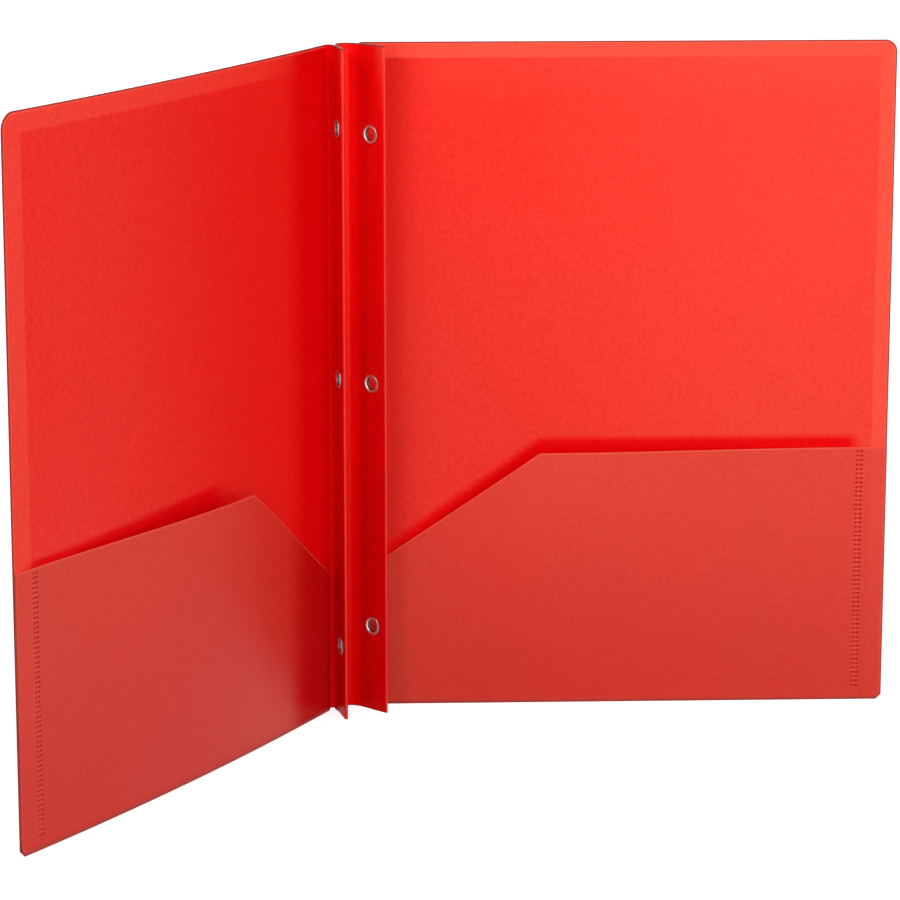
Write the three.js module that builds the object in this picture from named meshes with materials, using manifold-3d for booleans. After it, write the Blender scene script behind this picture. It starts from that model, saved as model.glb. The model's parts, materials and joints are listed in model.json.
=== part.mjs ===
// A two-pocket folder, folded from one sheet of plastic and standing open like a book.
// Millimetres, +Z up. The front is -Y: the inside of the folder faces that way.
// The sheet is divided at its fold lines into stiff leaves. From right to left these are the
// right cover, the right fin, the spine web, the left fin and the left cover. Each fin is a
// double ply with its crest towards the reader, and three eyelets clamp its two plies.
import * as THREE from 'three';
import { mergeVertices } from 'three/addons/utils/BufferGeometryUtils.js';
import Module from 'manifold-3d';

const wasm = await Module();
wasm.setup();

// Sheet
const sheetThickness = 0.5;
const pieceGap = 0.3;          // clearance between leaves that meet at a fold or a weld

// Covers
const coverWidth = 228.6;      // from the fold to the free edge
const coverHeight = 292.1;
const topCornerRadius = 5;
const bottomCornerCut = 2.2;
const leftCoverBowAngle = 7.5; // degrees that the left cover turns over its width

// Pocket flaps, folded up from the bottom edge of each cover
const flapHeight = 114.3;
const flapSpineHeight = 60;    // height of the slanted edge at the fold
const flapShoulder = 77;       // distance from the fold to the top of the slanted edge
const flapSpineInset = 3.5;    // the flap's cut edge stays this far from the fold
const flapStandoff = 7;        // how far the flap stands off its cover at the shoulder
const flapSpineShare = 0.12;   // share of that standoff left at the fold
const weldInset = 12;          // the weld line's distance from the free edge
const weldWidth = 3.6;
const weldPitch = 2;           // spacing of the pressed marks that make the weld
const weldMark = 1.1;          // height of one mark
const weldDepth = 0.15;
const weldTopInset = 1.2;      // the first mark starts this far below the flap's mouth
const weldBottomInset = 4.7;   // and the last one ends this far above its foot

// Fins and the web between them
const outerPly = 17;           // from the cover's fold towards the crest
const innerPly = 19.4;         // from the web's fold towards the crest
const finSpread = 4.8;         // distance between the two folds of one fin
const plyGap = 0.4;            // space between the two plies where the eyelets clamp them
const flareAngle = 24;         // degrees between a ply and the fin's middle plane at its fold
const flareLength = 7;         // stretch of each ply that flares out to its fold
const webWidth = 4.4;

// Eyelets
const eyeletHole = 5.5;
const eyeletWall = 0.25;
const flangeDiameter = 8.3;
const flangeThickness = 0.4;
const lipRadius = 0.6;
const eyeletFromCrest = 8;
const eyeletPitch = 107.95;
const leftEyeletRise = 3.5;    // the left fin's upper two eyelets sit this much higher
const leftEyeletDrop = 7;      // and its lowest one this much lower

// Fold angles of the standing folder, in degrees about Z, each from the leaf before it
const rightFinAngle = -44.5;
const webAngle = -115.5;
const leftFinAngle = 82.7;
const leftCoverAngle = -41.3;

// How finely the curves are divided
const mergeDistance = 1e-4;
const cornerSteps = 6;
const bowSteps = 12;
const slantSteps = 8;
const mouthSteps = 12;
const bendSteps = 4;
const riseSteps = 10;
const flareSteps = 7;
const crestSteps = 8;
const rollSteps = 3;
const eyeletSides = 20;

const halfSheet = sheetThickness / 2;
const foldOffset = halfSheet + pieceGap / 2;   // a fold's axis lies in front of the sheet
const edgeInset = pieceGap / 2;

const redSheet = new THREE.MeshStandardMaterial({ color: 0xe0342a, roughness: 0.5, metalness: 0 });
const redFlap = new THREE.MeshStandardMaterial({ color: 0xcf3c31, roughness: 0.5, metalness: 0 });
const redFin = new THREE.MeshStandardMaterial({ color: 0xcc0a10, roughness: 0.5, metalness: 0 });
const silver = new THREE.MeshStandardMaterial({ color: 0xc8c8ca, roughness: 0.25, metalness: 1 });

// Evenly spaced values with both ends
function spread(from, to, count) {
  const values = [];
  for (let i = 0; i <= count; i += 1) {
    values.push(from + (to - from) * i / count);
  }
  return values;
}

function smooth(share) {
  const s = Math.min(Math.max(share, 0), 1);
  return s * s * (3 - 2 * s);
}

// Keeps positions only and merges the points that coincide
function weldPoints(geometry) {
  const plain = new THREE.BufferGeometry();
  plain.setAttribute('position', geometry.getAttribute('position'));
  plain.setIndex(geometry.getIndex());
  return mergeVertices(plain, mergeDistance);
}

// A manifold solid from a closed geometry, turned so that its faces point out
function toSolid(geometry) {
  const welded = weldPoints(geometry);
  const vertProperties = new Float32Array(welded.getAttribute('position').array);
  const triVerts = new Uint32Array(welded.getIndex().array);
  if (signedVolume(vertProperties, triVerts) < 0) {
    flip(triVerts);
  }
  return new wasm.Manifold(new wasm.Mesh({ numProp: 3, vertProperties, triVerts }));
}

function signedVolume(positions, triangles) {
  const a = new THREE.Vector3();
  const b = new THREE.Vector3();
  const c = new THREE.Vector3();
  let volume = 0;
  for (let i = 0; i < triangles.length; i += 3) {
    a.fromArray(positions, 3 * triangles[i]);
    b.fromArray(positions, 3 * triangles[i + 1]);
    c.fromArray(positions, 3 * triangles[i + 2]);
    volume += a.dot(b.cross(c)) / 6;
  }
  return volume;
}

function flip(triangles) {
  for (let i = 0; i < triangles.length; i += 3) {
    const first = triangles[i];
    triangles[i] = triangles[i + 1];
    triangles[i + 1] = first;
  }
}

function toGeometry(solid) {
  const mesh = solid.getMesh();
  const geometry = new THREE.BufferGeometry();
  geometry.setAttribute('position', new THREE.BufferAttribute(mesh.vertProperties, 3));
  geometry.setIndex(new THREE.BufferAttribute(mesh.triVerts, 1));
  geometry.computeVertexNormals();
  return geometry;
}

function node(name, solid, material) {
  const mesh = new THREE.Mesh(toGeometry(solid), material);
  mesh.name = name;
  return mesh;
}

// A bent sheet as one closed solid. point(column, row, face) gives a point of its front
// face, 0, or its back face, 1, over a grid of columns and rows.
function sheetSolid(columnCount, rowCount, point) {
  const positions = [];
  const triangles = [];
  const index = (column, row, face) => (column * rowCount + row) * 2 + face;
  for (let column = 0; column < columnCount; column += 1) {
    for (let row = 0; row < rowCount; row += 1) {
      positions.push(...point(column, row, 0), ...point(column, row, 1));
    }
  }
  const quad = (a, b, c, d) => triangles.push(a, b, c, a, c, d);
  for (let column = 0; column + 1 < columnCount; column += 1) {
    for (let row = 0; row + 1 < rowCount; row += 1) {
      quad(index(column, row, 0), index(column + 1, row, 0),
        index(column + 1, row + 1, 0), index(column, row + 1, 0));
      quad(index(column, row, 1), index(column, row + 1, 1),
        index(column + 1, row + 1, 1), index(column + 1, row, 1));
    }
    const top = rowCount - 1;
    quad(index(column, 0, 0), index(column, 0, 1),
      index(column + 1, 0, 1), index(column + 1, 0, 0));
    quad(index(column, top, 0), index(column + 1, top, 0),
      index(column + 1, top, 1), index(column, top, 1));
  }
  const last = columnCount - 1;
  for (let row = 0; row + 1 < rowCount; row += 1) {
    quad(index(0, row, 0), index(0, row + 1, 0), index(0, row + 1, 1), index(0, row, 1));
    quad(index(last, row, 0), index(last, row, 1),
      index(last, row + 1, 1), index(last, row + 1, 0));
  }
  const geometry = new THREE.BufferGeometry();
  geometry.setAttribute('position', new THREE.Float32BufferAttribute(positions, 3));
  geometry.setIndex(triangles);
  return toSolid(geometry);
}

// A cover's middle line in plan. It starts at the fold's axis and leaves along +X, its front
// is the -Y side for the right hand and the +Y side for the left, and it turns by the bow.
function coverLine(hand, bowDegrees) {
  const bow = THREE.MathUtils.degToRad(bowDegrees);
  return (distance, offset) => {
    const turn = bow * distance / coverWidth;
    const half = turn / 2;
    const chord = turn === 0 ? distance : distance * Math.sin(half) / half;
    const x = chord * Math.cos(half) + (foldOffset - offset) * -Math.sin(turn);
    const y = chord * Math.sin(half) + (foldOffset - offset) * Math.cos(turn);
    return [x, hand * y];
  };
}

// Bottom and top edges of a cover at a distance from its fold
function bottomEdge(distance) {
  return Math.max(0, distance - (coverWidth - bottomCornerCut));
}

function topEdge(distance) {
  const past = Math.max(0, distance - (coverWidth - topCornerRadius));
  return coverHeight - topCornerRadius + Math.sqrt(topCornerRadius ** 2 - past ** 2);
}

const bendRadius = (sheetThickness + pieceGap) / 2;   // middle radius of the bottom fold
const bendHeight = halfSheet + bendRadius;            // height of that fold's centre line

function coverSolid(line, steps) {
  const arcStart = coverWidth - topCornerRadius;
  const distances = spread(edgeInset, arcStart, steps);
  for (const angle of spread(0, Math.PI / 2, cornerSteps).slice(1)) {
    distances.push(arcStart + topCornerRadius * Math.sin(angle));
  }
  distances.push(coverWidth - bottomCornerCut);
  distances.sort((a, b) => a - b);
  return sheetSolid(distances.length, 2, (column, row, face) => {
    const distance = distances[column];
    const foot = bendHeight + pieceGap + bottomEdge(distance);
    const height = row === 0 ? foot : topEdge(distance);
    return [...line(distance, face === 0 ? halfSheet : -halfSheet), height];
  });
}

const weldLine = coverWidth - weldInset;
const weldEdge = weldLine - weldWidth / 2;

// How far the flap's middle surface stands in front of the cover's middle surface
function flapOffset(distance, height) {
  const towardsWeld = smooth((weldEdge - distance) / (weldEdge - flapShoulder));
  const towardsSpine = smooth((flapShoulder - distance) / flapShoulder);
  const across = towardsWeld * (1 - (1 - flapSpineShare) * towardsSpine);
  const up = Math.sin(Math.PI / 2 * Math.min(1, height / flapHeight));
  return sheetThickness + pieceGap + flapStandoff * across * up;
}

function flapTop(distance) {
  const slope = (flapHeight - flapSpineHeight) / flapShoulder;
  return Math.min(flapHeight, flapSpineHeight + slope * distance);
}

// The flap starts at the cover's foot, turns through the bottom fold and rises to its mouth
function plainFlapSolid(line) {
  const distances = [
    ...spread(flapSpineInset, flapShoulder, slantSteps),
    ...spread(flapShoulder, weldEdge, mouthSteps).slice(1),
    coverWidth - bottomCornerCut,
    coverWidth,
  ];
  const rises = spread(0, 1, riseSteps).slice(1);
  const rowCount = bendSteps + 1 + rises.length;
  return sheetSolid(distances.length, rowCount, (column, row, face) => {
    const distance = distances[column];
    const side = face === 0 ? halfSheet : -halfSheet;
    const foot = bendHeight + bottomEdge(distance);
    if (row <= bendSteps) {
      const turn = Math.PI * row / bendSteps;
      const radius = bendRadius + side;
      const out = bendRadius - radius * Math.cos(turn);
      return [...line(distance, out), foot - radius * Math.sin(turn)];
    }
    const height = foot + (flapTop(distance) - foot) * rises[row - bendSteps - 1];
    return [...line(distance, flapOffset(distance, height) + side), height];
  });
}

// The weld presses a ladder of shallow marks into the front of the flap
function flapSolid(line) {
  let flap = plainFlapSolid(line);
  const front = sheetThickness + pieceGap + halfSheet;
  const [startX, startY] = line(weldEdge, front);
  const [endX, endY] = line(weldEdge + weldWidth, front);
  const first = flapHeight - weldTopInset - weldMark / 2;
  for (let height = first; height - weldMark / 2 >= weldBottomInset; height -= weldPitch) {
    const mark = new THREE.BoxGeometry(weldWidth, 2 * weldDepth, weldMark);
    mark.rotateZ(Math.atan2(endY - startY, endX - startX));
    mark.translate((startX + endX) / 2, (startY + endY) / 2, height);
    flap = flap.subtract(toSolid(mark));
  }
  return flap;
}

// A fin in plan: the cover's fold is at 0,0 and the crest points along +X
const webFold = new THREE.Vector2(outerPly - innerPly, -finSpread);
const crest = outerPly;
const plyOffset = (plyGap + sheetThickness) / 2;
const finMiddle = -finSpread / 2;

// The middle line of the folded ply, from the cover's fold round the crest to the web's fold
function finLine() {
  const flare = THREE.MathUtils.degToRad(flareAngle);
  const along = new THREE.Vector2(Math.cos(flare), -Math.sin(flare));
  const away = new THREE.Vector2(-Math.sin(flare), -Math.cos(flare));
  const reach = flareLength / 3;
  const outerStart = along.clone().multiplyScalar(edgeInset).addScaledVector(away, foldOffset);
  const innerStart = new THREE.Vector2(outerStart.x, -outerStart.y).add(webFold);
  const outerEnd = new THREE.Vector2(flareLength, finMiddle + plyOffset);
  const innerEnd = new THREE.Vector2(flareLength + webFold.x, finMiddle - plyOffset);
  const outerFlare = new THREE.CubicBezierCurve(
    outerStart,
    outerStart.clone().addScaledVector(along, reach),
    new THREE.Vector2(outerEnd.x - reach, outerEnd.y),
    outerEnd,
  );
  const innerFlare = new THREE.CubicBezierCurve(
    innerEnd,
    new THREE.Vector2(innerEnd.x - reach, innerEnd.y),
    innerStart.clone().add(new THREE.Vector2(along.x * reach, -along.y * reach)),
    innerStart,
  );
  const turn = new THREE.EllipseCurve(
    crest - halfSheet - plyOffset, finMiddle, plyOffset, plyOffset, Math.PI / 2, -Math.PI / 2, true,
  );
  return [
    ...outerFlare.getPoints(flareSteps),
    ...turn.getPoints(crestSteps),
    ...innerFlare.getPoints(flareSteps),
  ];
}

// Thickens a line in plan to a closed outline, square at both ends
function thicken(points, hand) {
  const front = [];
  const back = [];
  points.forEach((point, i) => {
    const before = points[Math.max(0, i - 1)];
    const after = points[Math.min(points.length - 1, i + 1)];
    const direction = after.clone().sub(before).normalize();
    const normal = new THREE.Vector2(-direction.y, direction.x).multiplyScalar(halfSheet);
    front.push(point.clone().add(normal));
    back.unshift(point.clone().sub(normal));
  });
  const outline = [...front, ...back];
  return new THREE.Shape(outline.map((p) => new THREE.Vector2(p.x, hand * p.y)));
}

function standing(shape) {
  return toSolid(new THREE.ExtrudeGeometry(shape, {
    depth: coverHeight, bevelEnabled: false, steps: 1, curveSegments: 1,
  }));
}

const eyeletOuterRadius = eyeletHole / 2 + eyeletWall;
const eyeletX = crest - eyeletFromCrest;

function finSolid(hand, heights) {
  let fin = standing(thicken(finLine(), hand));
  const punchDepth = finSpread;
  heights.forEach((height) => {
    const punch = new THREE.CylinderGeometry(
      eyeletOuterRadius + pieceGap, eyeletOuterRadius + pieceGap, punchDepth, eyeletSides,
    );
    punch.translate(eyeletX, hand * finMiddle, height);
    fin = fin.subtract(toSolid(punch));
  });
  return fin;
}

// Half of the eyelet's section, from its middle to the rolled lip and back under the flange
function eyeletSolid(hand, height) {
  const seat = plyOffset + halfSheet + pieceGap;
  const top = seat + flangeThickness;
  const inner = eyeletHole / 2;
  const rim = flangeThickness / 2;
  const lip = new THREE.EllipseCurve(
    inner + lipRadius, top - lipRadius, lipRadius, lipRadius, Math.PI, Math.PI / 2, true,
  );
  const roll = new THREE.EllipseCurve(
    flangeDiameter / 2 - rim, seat + rim, rim, rim, Math.PI / 2, -Math.PI / 2, true,
  );
  const half = [
    ...lip.getPoints(rollSteps),
    ...roll.getPoints(rollSteps),
    new THREE.Vector2(eyeletOuterRadius, seat),
  ];
  const mirrored = half.map((p) => new THREE.Vector2(p.x, -p.y)).reverse();
  const profile = [...half, ...mirrored, half[0]];
  const eyelet = new THREE.LatheGeometry(profile, eyeletSides);
  eyelet.translate(eyeletX, hand * finMiddle, height);
  return toSolid(eyelet);
}

// The web lies between the two inner folds, behind their axes
function webSolid() {
  return standing(thicken([
    new THREE.Vector2(edgeInset, -foldOffset),
    new THREE.Vector2(webWidth - edgeInset, -foldOffset),
  ], 1));
}

const middleHeight = coverHeight / 2;
const rightEyelets = {
  top: middleHeight + eyeletPitch,
  middle: middleHeight,
  bottom: middleHeight - eyeletPitch,
};
const leftEyelets = {
  top: rightEyelets.top + leftEyeletRise,
  middle: rightEyelets.middle + leftEyeletRise,
  bottom: rightEyelets.bottom - leftEyeletDrop,
};

function addFin(group, side, hand, eyelets) {
  group.add(node(`${side}_fin`, finSolid(hand, Object.values(eyelets)), redFin));
  for (const [place, height] of Object.entries(eyelets)) {
    group.add(node(`${side}_eyelet_${place}`, eyeletSolid(hand, height), silver));
  }
}

function addCover(group, side, hand, bowAngle, steps) {
  const line = coverLine(hand, bowAngle);
  group.add(node(`${side}_cover`, coverSolid(line, steps), redSheet));
  group.add(node(`${side}_pocket_flap`, flapSolid(line), redFlap));
}

function foldAt(parent, x, y, degrees) {
  const group = new THREE.Group();
  group.position.set(x, y, 0);
  group.rotation.z = THREE.MathUtils.degToRad(degrees);
  parent.add(group);
  return group;
}

// The leaves hang on each other from the right cover leftwards, each turned at its fold
const folder = new THREE.Group();
const rightCover = foldAt(folder, 0, 0, 0);
addCover(rightCover, 'right', 1, 0, 1);
const rightFin = foldAt(rightCover, 0, 0, rightFinAngle);
addFin(rightFin, 'right', 1, rightEyelets);
const web = foldAt(rightFin, webFold.x, webFold.y, webAngle);
web.add(node('spine_web', webSolid(), redFin));
const leftFin = foldAt(web, webWidth, 0, leftFinAngle);
const leftFinPlace = foldAt(leftFin, -webFold.x, webFold.y, 0);
addFin(leftFinPlace, 'left', -1, leftEyelets);
const leftCover = foldAt(leftFinPlace, 0, 0, leftCoverAngle);
addCover(leftCover, 'left', -1, leftCoverBowAngle, bowSteps);

// The origin is at the middle of the standing folder's floor rectangle
folder.updateMatrixWorld(true);
const box = new THREE.Box3().setFromObject(folder, true);
folder.position.set(-(box.min.x + box.max.x) / 2, -(box.min.y + box.max.y) / 2, -box.min.z);

export default folder;
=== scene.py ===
"""A red two-pocket folder, standing open like a book. Metres, +Z up, in the part's own frame."""
import json
import math

import bmesh
import bpy
from mathutils import Matrix, Vector


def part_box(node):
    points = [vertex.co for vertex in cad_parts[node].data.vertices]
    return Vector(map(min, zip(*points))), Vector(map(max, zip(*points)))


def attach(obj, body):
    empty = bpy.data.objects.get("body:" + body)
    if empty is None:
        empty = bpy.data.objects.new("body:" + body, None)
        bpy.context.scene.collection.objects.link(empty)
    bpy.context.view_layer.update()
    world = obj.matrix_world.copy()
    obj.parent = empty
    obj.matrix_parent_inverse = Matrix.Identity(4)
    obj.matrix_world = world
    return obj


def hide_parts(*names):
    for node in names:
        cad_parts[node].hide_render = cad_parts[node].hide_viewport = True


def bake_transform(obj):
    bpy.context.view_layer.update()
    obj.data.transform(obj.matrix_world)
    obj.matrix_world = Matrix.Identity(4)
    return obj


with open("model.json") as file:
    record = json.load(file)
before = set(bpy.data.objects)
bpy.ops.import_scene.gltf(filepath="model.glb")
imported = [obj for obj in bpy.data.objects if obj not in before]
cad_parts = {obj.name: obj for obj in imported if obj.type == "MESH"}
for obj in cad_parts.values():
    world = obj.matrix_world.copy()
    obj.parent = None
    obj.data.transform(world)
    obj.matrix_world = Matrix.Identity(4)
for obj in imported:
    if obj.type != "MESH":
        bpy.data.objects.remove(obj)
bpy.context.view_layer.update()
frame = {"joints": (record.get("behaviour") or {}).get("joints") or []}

MM = 0.001

# Sizes of the folder, from the frame
cover_low, cover_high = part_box("right_cover")
_, flap_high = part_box("right_pocket_flap")
joint_at = {joint["name"]: Vector(joint["pos_m"]) for joint in frame["joints"]}
RIGHT_FOLD = joint_at["right_cover_fold"]
RIGHT_SPINE = joint_at["right_spine_fold"]
LEFT_FOLD = joint_at["left_cover_fold"]
HEIGHT = cover_high.z
WIDTH = cover_high.x - RIGHT_FOLD.x
FLAP_TOP = flap_high.z
SHEET = cover_high.y - cover_low.y
HALF = SHEET / 2
COVER_Y = (cover_low.y + cover_high.y) / 2
FOLD_OFFSET = COVER_Y - RIGHT_FOLD.y     # the sheet's middle lies this far behind a fold's axis

# Sizes that repeat the part's own
CORNER_CUT = 2.2 * MM
LEFT_BOW = math.radians(7.5)
FLAP_SPINE_TOP = 60 * MM
FLAP_SHOULDER = 77 * MM
FLAP_INSET = 3.5 * MM
FLAP_STANDOFF = 7 * MM
FLAP_SPINE_SHARE = 0.12
FLAP_GAP = 0.3 * MM
WELD_INSET = 12 * MM
WELD_WIDTH = 3.6 * MM
WELD_PITCH = 2.0 * MM
WELD_MARK = 1.1 * MM
WELD_TOP_INSET = 1.2 * MM
WELD_BOTTOM_INSET = 4.7 * MM
OUTER_PLY = 17 * MM
INNER_PLY = 19.4 * MM
FIN_SPREAD = 4.8 * MM
PLY_GAP = 0.4 * MM
FLARE = math.radians(24)
FLARE_LENGTH = 7 * MM
WEB_WIDTH = 4.4 * MM
EYELET_HOLE = 5.5 * MM
EYELET_WALL = 0.25 * MM
FLANGE = 8.3 * MM
FLANGE_THICKNESS = 0.4 * MM
EYELET_FROM_CREST = 8 * MM
RIGHT_FIN_ANGLE = math.radians(-44.5)
WEB_ANGLE = math.radians(-160.0)
LEFT_FIN_ANGLE = math.radians(-77.3)
LEFT_COVER_ANGLE = math.radians(-118.6)

# The fold strips reach this far to each side of a fold's axis
STRIP = 1.6 * MM

# The radius of each cover's top corner, as the photograph shows them
CORNER = {"right": 5 * MM, "left": 7 * MM}

# Marks along the cut edges, measured inwards from them
RIM = 0.4 * MM                  # the dark line
RIM_FADE = 0.2 * MM
GLINT = 1.2 * MM                # the paler line inside it reaches this far
GLINT_PALE = 0.45
RIGHT_BAND = 6.5 * MM           # the paler border of each cover, painted light
LEFT_TOP_BAND = 8.2 * MM
LEFT_FREE_BAND = 10.4 * MM
BAND_FADE = 0.7 * MM
BAND_PALE = {"right": 1.0, "left": 0.5}
FLAP_BAND_PALE = 0.35

# In the pairs of lengths below the first says where a mark begins or ends, and the second over
# what distance it does

# The paler places of a cover, painted light: distances are from its fold, drops from its top
LEFT_TOP_START = (8 * MM, 70 * MM)
RIGHT_TOP_START = (12 * MM, 14 * MM)
TOP_LOSS = 0.3                  # the right cover's top border is this much weaker by the fin
BELOW_TOP = 0.22                # a faint paler zone below that border
BELOW_TOP_START = (14 * MM, 24 * MM)
BELOW_TOP_DROP = (9 * MM, 22 * MM)
FREE_PALE = 0.4                 # painted light: the right cover grows paler towards its free edge, away from the fin
FREE_PALE_START = (40 * MM, 180 * MM)

# The weld marks: two dots and a bar between them
DOT_SPREAD = 1.05 * MM          # the dots lie this far from the mark's middle
DOT_RADIUS = 0.5 * MM
DOT_SHAPE = 0.9                 # width to height
DOT_DEPTH = 0.2 * MM
DOT_DARK = 0.98
DOT_WEIGHTS = {"right": (0.75, 1.0), "left": (1.0, 0.7)}    # nearer the spine, nearer the edge; the dot on the right as seen from the front is heavier, painted shade as the light comes from the left
BAR_DEPTH = 0.08 * MM
BAR_DARK = 0.4
BAR_RADIUS = 0.32 * MM
BAR_END = (DOT_SPREAD, 0.4 * MM)
HALO_PALE = 0.4                 # the paler sheet between two marks
HALO_RADIUS = 0.35 * MM
HALO_END = (1.4 * MM, 0.6 * MM)

# The fold's pale line along a fin's crest: partly the plastic whitened by the fold, partly a
# painted highlight on its round
CREST_LINE = 0.16 * MM
CREST_FADE = 0.3 * MM
CREST_PALE = {"right": 0.8, "left": 0.62}
CREST_TOP_HIGHLIGHT = (                  # a painted highlight near the top, as light falls from above: how pale, how far from the crest and how far from the top
    (0.3, (1 * MM, 3 * MM), (6 * MM, 24 * MM)),
    (0.2, (2 * MM, 5 * MM), (0, 12 * MM)))

# The deeper red where little white light gets in
FOLD_END = (7 * MM, 5 * MM)                                 # outside the bend of the right fold
SPINE_SHADE = 0.74                                          # beside the right fin
SPINE_START, SPINE_SCALE = 14 * MM, 9 * MM                  # it falls off exponentially
SPINE_FAR = 0.05                                            # a faint part reaches farther
SPINE_FAR_END = (60 * MM, 60 * MM)
LEFT_SPINE_END = (20 * MM, 20 * MM)                         # on the left it starts at 1
MOUTH_SHADE = {"right": 3.6 * MM, "left": 5.2 * MM}         # above a pocket's mouth, this high
MOUTH_FADE = 3.4 * MM
LEFT_MOUTH_START = (FLAP_SHOULDER + 8 * MM, 12 * MM)
LEFT_MOUTH_WIDTH = 1.05                                     # times as wide at the shoulder
LEFT_MOUTH_TAPER = 0.6                                      # and this much less at the weld
MOUTH_END = {"right": 5 * MM, "left": 3 * MM}               # it ends this far before the weld
MOUTH_END_FADE = {"right": 7 * MM, "left": 11 * MM}
FLAP_SPINE_SHADE = {"right": 0.35, "left": 1.0}             # a flap's share of its cover's shade
FLAP_FOOT_SHADE = 0.3
OUTER_SHADE = 0.3                                           # on the outside of a cover's fold
OUTER_END = (2 * MM, 16 * MM)
FIN_FOOT_SHADE = 0.8

# Painted shade: the right cover and its flap are a little browner and darker beside the fin, where
# its shadow falls, and towards the foot
FIN_SHADOW_BROWN = 0.13
COVER_SHADE_BROWN = 0.13
FLAP_SHADE_BROWN = 0.12
BROWN_SHADE_HEIGHT = (110 * MM, 140 * MM)

# Painted shade on the eyelets: how dark they are at their flanges' rolled edges, at their seats and
# in their barrels
EDGE_SHADE = {"right": 0.85, "left": 0.2}
EDGE_END = (0.05 * MM, 0.15 * MM)
SEAT_SHADE = 0.9
BARREL_SHADE = 0.08
SHADE_END = (0.12 * MM, 0.2 * MM)

# How finely the sheets are divided, in steps
COVER_COLUMNS = 76
COVER_ROWS = 34
CORNER_STEPS = 16
TOP_DROPS = (1.9, 2.6, 3.3, 4.0)    # more rows by a cover's top corner, in millimetres
MOUTH_ROWS = 44                     # and about the pocket's mouth
MOUTH_ROW = 1.6 * MM
MOUTH_ROWS_START = 10 * MM          # they begin this far above it
FLAP_SLANT_COLUMNS = 30
FLAP_COLUMNS = 44
WELD_COLUMNS = 24
FLAP_FOOT_ROWS = 6
BEND_STEPS = 10                     # round the bottom fold


def smooth(share):
    s = min(max(share, 0.0), 1.0)
    return s * s * (3 - 2 * s)


def evenly(low, high, count):
    return [low + (high - low) * i / count for i in range(count + 1)]


# Materials

def material(name):
    made = bpy.data.materials.new(name)
    made.use_nodes = True
    made.node_tree.nodes.clear()
    return made, made.node_tree.nodes, made.node_tree.links


def noise(nodes, links, where, scale, detail, roughness):
    texture = nodes.new("ShaderNodeTexNoise")
    texture.inputs["Scale"].default_value = scale
    texture.inputs["Detail"].default_value = detail
    texture.inputs["Roughness"].default_value = roughness
    links.new(where, texture.inputs["Vector"])
    return texture.outputs["Fac"]


def ramp(nodes, links, value, stops):
    made = nodes.new("ShaderNodeValToRGB")
    links.new(value, made.inputs["Fac"])
    for element, (at, colour) in zip(made.color_ramp.elements, stops):
        element.position = at
        element.color = (*colour, 1.0)
    return made.outputs["Color"]


def spread(nodes, links, value, low, high, start=0.0, end=1.0):
    """Turns a value between start and end into one between low and high."""
    made = nodes.new("ShaderNodeMapRange")
    made.inputs["From Min"].default_value = start
    made.inputs["From Max"].default_value = end
    made.inputs["To Min"].default_value = low
    made.inputs["To Max"].default_value = high
    links.new(value, made.inputs["Value"])
    return made.outputs["Result"]


def combine(nodes, links, operation, first, second):
    made = nodes.new("ShaderNodeMath")
    made.operation = operation
    links.new(first, made.inputs[0])
    links.new(second, made.inputs[1])
    return made.outputs["Value"]


def bumps(nodes, links, height, strength, distance):
    made = nodes.new("ShaderNodeBump")
    made.inputs["Strength"].default_value = strength
    made.inputs["Distance"].default_value = distance
    links.new(height, made.inputs["Height"])
    return made.outputs["Normal"]


def attribute(nodes, name):
    read = nodes.new("ShaderNodeAttribute")
    read.attribute_type = "GEOMETRY"
    read.attribute_name = name
    return read.outputs["Fac"]


def tint(nodes, links, colour, amount, target):
    """Mixes a colour towards a target by an amount between 0 and 1."""
    mix = nodes.new("ShaderNodeMix")
    mix.data_type = "RGBA"
    mix.inputs["B"].default_value = (*target, 1.0)
    links.new(amount, mix.inputs["Factor"])
    links.new(colour, mix.inputs["A"])
    return mix.outputs["Result"]


def as_surface(nodes, links, shader):
    output = nodes.new("ShaderNodeOutputMaterial")
    links.new(shader, output.inputs["Surface"])


# The brown of the cut edges, also painted as shade in places; the pale red of the folds' whitening
# and of painted highlights; the deeper red of the pressed weld marks
RIM_AND_SHADE_BROWN = (0.26, 0.050, 0.042)
PALE_AND_HIGHLIGHT_RED = (1.0, 0.13, 0.085)
PRESSED_RED = (0.46, 0.004, 0.004)
GLOSS_MOTTLE = 0.36      # how far the gloss and the red of a sheet vary from spot to spot
RED_MOTTLE = 0.045
DULL_SHINE = 0.08        # the share of the gloss that is left where the sheet is dull


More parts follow.
